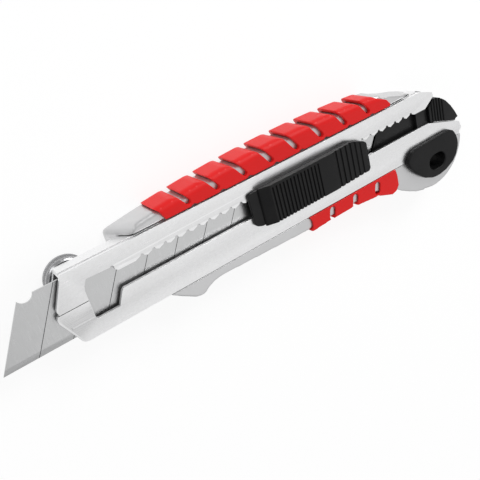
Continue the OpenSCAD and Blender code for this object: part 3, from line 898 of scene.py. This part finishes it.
@dataclass
class LockWheel(Piece):
    """The knurled thumb wheel with its stud and washer; sizes in mm."""

    body: str = "wheel"
    teeth: int = 44
    cuts_per_tooth: int = 8
    knurl: float = 0.42
    crest: float = 0.8
    crossing: float = 0.7
    twist: float = 1.15
    rim_low: float = 0.5
    rim_high: float = 3.05
    rim_rings: int = 16
    fade_ends: float = 4.0
    lower_edge: tuple[tuple[float, float], ...] = ((0.75, 0.0), (0.45, 0.06), (0.15, 0.4))
    upper_edge: tuple[tuple[float, float], ...] = ((0.14, 0.1), (0.2, 0.28), (0.32, 0.4))
    shoulder: tuple[float, float] = (0.62, 0.06)
    face_inset: float = 0.72
    recess: float = 5.2
    recess_depth: float = 1.2
    recess_round: float = 0.14
    hub: float = 3.4
    hub_round: float = 0.12
    bore: float = 2.02
    bore_floor: float = 0.6
    edge: float = 0.08

    def profile(self, radius: float, height: float) -> list[tuple[float, float, float]]:
        """Gives the turned section of the wheel.

        Args:
            radius: Outer radius.
            height: Thickness.

        Returns:
            Radius, height and knurl depth of each ring, from the underside round to the bore's floor.
        """
        rings = [(radius - inset, z, 0.0) for inset, z in self.lower_edge]
        for i in range(self.rim_rings + 1):
            share = i / self.rim_rings
            z = self.rim_low + (self.rim_high - self.rim_low) * share
            fade = min(1.0, self.fade_ends * share, self.fade_ends * (1 - share))
            rings.append((radius, z, self.knurl * fade))
        rings += [(radius - inset, self.rim_high + rise, 0.0) for inset, rise in self.upper_edge]
        floor = height - self.recess_depth
        turned = [
            (radius - self.shoulder[0], height - self.shoulder[1]),
            (radius - self.face_inset, height),
            (self.recess + self.recess_round, height),
            (self.recess, height - self.recess_round),
            (self.recess, floor),
            (self.hub, floor),
            (self.hub, height - self.hub_round),
            (self.hub - self.hub_round, height),
            (self.bore, height),
            (self.bore, self.bore_floor),
        ]
        return rings + [(r, z, 0.0) for r, z in turned]

    def knurled(self) -> bpy.types.Object:
        """Turns the wheel and presses the diamond knurl into its rim.

        Returns:
            The wheel.
        """
        low, high = (Vector(v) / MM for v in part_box("lock_wheel"))
        middle = (low + high) / 2
        rings = self.profile((high.x - low.x) / 2, high.z - low.z)
        around = self.teeth * self.cuts_per_tooth
        rig = bmesh.new()
        loops = []
        for r, z, cut in rings:
            loop = []
            for k in range(around):
                turn = 2 * math.pi * k / around
                lean = math.cos(self.teeth * turn + 2 * math.pi * z / self.twist)
                back = math.cos(self.teeth * turn - 2 * math.pi * z / self.twist)
                one_way = 1 - abs(lean) ** self.crest
                other_way = self.crossing * (1 - abs(back) ** self.crest)
                depth = cut * max(one_way, other_way)
                at = Vector(((r - depth) * math.cos(turn), (r - depth) * math.sin(turn), z))
                loop.append(rig.verts.new((Vector((middle.x, middle.y, low.z)) + at) * MM))
            loops.append(loop)
        for one, two in zip(loops, loops[1:]):
            for k in range(around):
                m = (k + 1) % around
                rig.faces.new((one[k], one[m], two[m], two[k]))
        rig.faces.new(list(reversed(loops[0])))
        rig.faces.new(loops[-1])
        bmesh.ops.recalc_face_normals(rig, faces=rig.faces)
        mesh = bpy.data.meshes.new("thumb_wheel")
        rig.to_mesh(mesh)
        rig.free()
        for poly in mesh.polygons:
            poly.use_smooth = True
        obj = bpy.data.objects.new("thumb_wheel", mesh)
        bpy.context.scene.collection.objects.link(obj)
        obj.data.materials.append(finish_of("wheel_metal"))
        obj.modifiers.new("normals", "WEIGHTED_NORMAL").keep_sharp = False
        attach(obj, self.body)
        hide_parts("lock_wheel")
        LOG.info("thumb_wheel replaces lock_wheel")
        return obj

    def build(self) -> None:
        """Finishes the wheel's pieces."""
        self.knurled()
        for name in ("lock_stud", "wheel_washer"):
            self.crisp(name, "plated_steel", self.edge)


@dataclass
class Pad(Piece):
    """The pressure pad under the blade."""

    body: str = "pad"
    edge: float = 0.1

    def build(self) -> None:
        """Finishes the pad."""
        self.crisp("pressure_pad", "brass", self.edge)


@dataclass
class Magazine(Piece):
    """The pull-out tray with the end cap and the spare blades."""

    body: str = "magazine"
    spares: int = 3
    cap: Rounding = Rounding(0.15, 4)
    tray_edge: float = 0.1
    pin_edge: float = 0.08
    spring_edge: float = 0.03

    def build(self) -> None:
        """Finishes the magazine's pieces."""
        self.crisp("magazine_tray", "black_plastic", self.tray_edge)
        self.soft("magazine_cap", "black_plastic", self.cap)
        self.crisp("cap_pin", "plated_steel", self.pin_edge)
        self.crisp("magazine_spring", "spring_steel", self.spring_edge)
        for i in range(self.spares):
            self.wear(f"spare_blade_{i + 1}", "spare_steel")


# ---------------------------------------------------------------- studio


@dataclass(frozen=True)
class SoftBox:
    """One square soft light that faces the knife; its place and side in metres, its power in watts."""

    name: str
    at: Point
    side: float
    watts: float


@dataclass
class Studio:
    """Camera, floor and soft lights; the camera's places and its lens in mm, the roll in degrees."""

    eye: Point = (-98.816, 83.225, 168.656)
    aim: Point = (-14.73, -11.986, 0.0)
    roll: float = 115.95
    lens: float = 49.5
    sensor: float = 36.0
    clip: tuple[float, float] = (10.0, 10000.0)
    floor_half: float = 3000.0
    floor_gap: float = 0.05
    floor_shade: RGB = (0.2, 0.2, 0.2)
    floor_glow: float = 0.84
    floor_roughness: float = 0.9
    floor_gloss: float = 0.1
    horizon: RGB = (0.5, 0.5, 0.51)
    surroundings: float = 0.55
    lights: tuple[SoftBox, ...] = (
        SoftBox("top", (0.42, -0.42, 0.8), side=1.0, watts=1.25),
        SoftBox("key", (0.45, 0.66, 0.5), side=0.4, watts=3.0),
        SoftBox("rim", (-0.55, 0.6, 0.4), side=0.3, watts=0.7),
    )

    def camera(self) -> None:
        """Makes the camera."""
        data = bpy.data.cameras.new("camera")
        data.lens = self.lens
        data.sensor_width = self.sensor
        data.clip_start, data.clip_end = (d * MM for d in self.clip)
        obj = bpy.data.objects.new("camera", data)
        bpy.context.scene.collection.objects.link(obj)
        level = (Vector(self.aim) - Vector(self.eye)).to_track_quat("-Z", "Y").to_matrix().to_4x4()
        rolled = level @ Matrix.Rotation(math.radians(self.roll), 4, "Z")
        obj.matrix_world = Matrix.Translation(Vector(self.eye) * MM) @ rolled
        bpy.context.scene.camera = obj

    def floor(self) -> None:
        """Makes the pale floor the knife lies on."""
        mesh = bpy.data.meshes.new("floor")
        rig = bmesh.new()
        bmesh.ops.create_grid(rig, x_segments=4, y_segments=4, size=self.floor_half * MM)
        rig.to_mesh(mesh)
        rig.free()
        obj = bpy.data.objects.new("floor", mesh)
        bpy.context.scene.collection.objects.link(obj)
        obj.location = (0.0, 0.0, -self.floor_gap * MM)
        mat = bpy.data.materials.new("floor_paper")
        mat.use_nodes = True
        shader = mat.node_tree.nodes["Principled BSDF"]
        shader.inputs["Base Color"].default_value = tone(self.floor_shade)
        shader.inputs["Emission Color"].default_value = WHITE
        shader.inputs["Emission Strength"].default_value = self.floor_glow
        shader.inputs["Roughness"].default_value = self.floor_roughness
        shader.inputs["Specular IOR Level"].default_value = self.floor_gloss
        mesh.materials.append(mat)

    def light(self, box: SoftBox) -> None:
        """Adds one soft box, turned towards the frame's origin.

        Args:
            box: The light's name, place, side and power.
        """
        data = bpy.data.lights.new(box.name, "AREA")
        data.shape = "SQUARE"
        data.size = box.side
        data.energy = box.watts
        obj = bpy.data.objects.new(box.name, data)
        bpy.context.scene.collection.objects.link(obj)
        obj.location = box.at
        obj.rotation_mode = "QUATERNION"
        obj.rotation_quaternion = (-Vector(box.at)).to_track_quat("-Z", "Y")

    def world(self) -> None:
        """Makes the pale surroundings, brighter above."""
        world = bpy.data.worlds.new("studio")
        bpy.context.scene.world = world
        world.use_nodes = True
        w = Wiring(world.node_tree)
        back = world.node_tree.nodes["Background"]
        split = w.add("SeparateXYZ")
        w.put(split.inputs[0], w.add("TexCoord").outputs["Generated"])
        shade = w.ramp(split.outputs[2], low=-0.2, high=0.9)
        w.put(back.inputs["Color"], w.mix(shade, tone(self.horizon), WHITE))
        back.inputs["Strength"].default_value = self.surroundings

    def build(self) -> None:
        """Sets the studio up."""
        self.camera()
        self.floor()
        self.world()
        for box in self.lights:
            self.light(box)
        bpy.context.scene.view_settings.view_transform = "Standard"


def main() -> None:
    """Builds the studio and the sub-assemblies in order."""
    logging.basicConfig(level=logging.INFO, format="%(message)s")
    Studio().build()
    for part in (Handle(), Slider(), LockWheel(), Pad(), Magazine()):
        part.build()
        LOG.info("%s done", part.body)


if __name__ == "__main__":
    main()
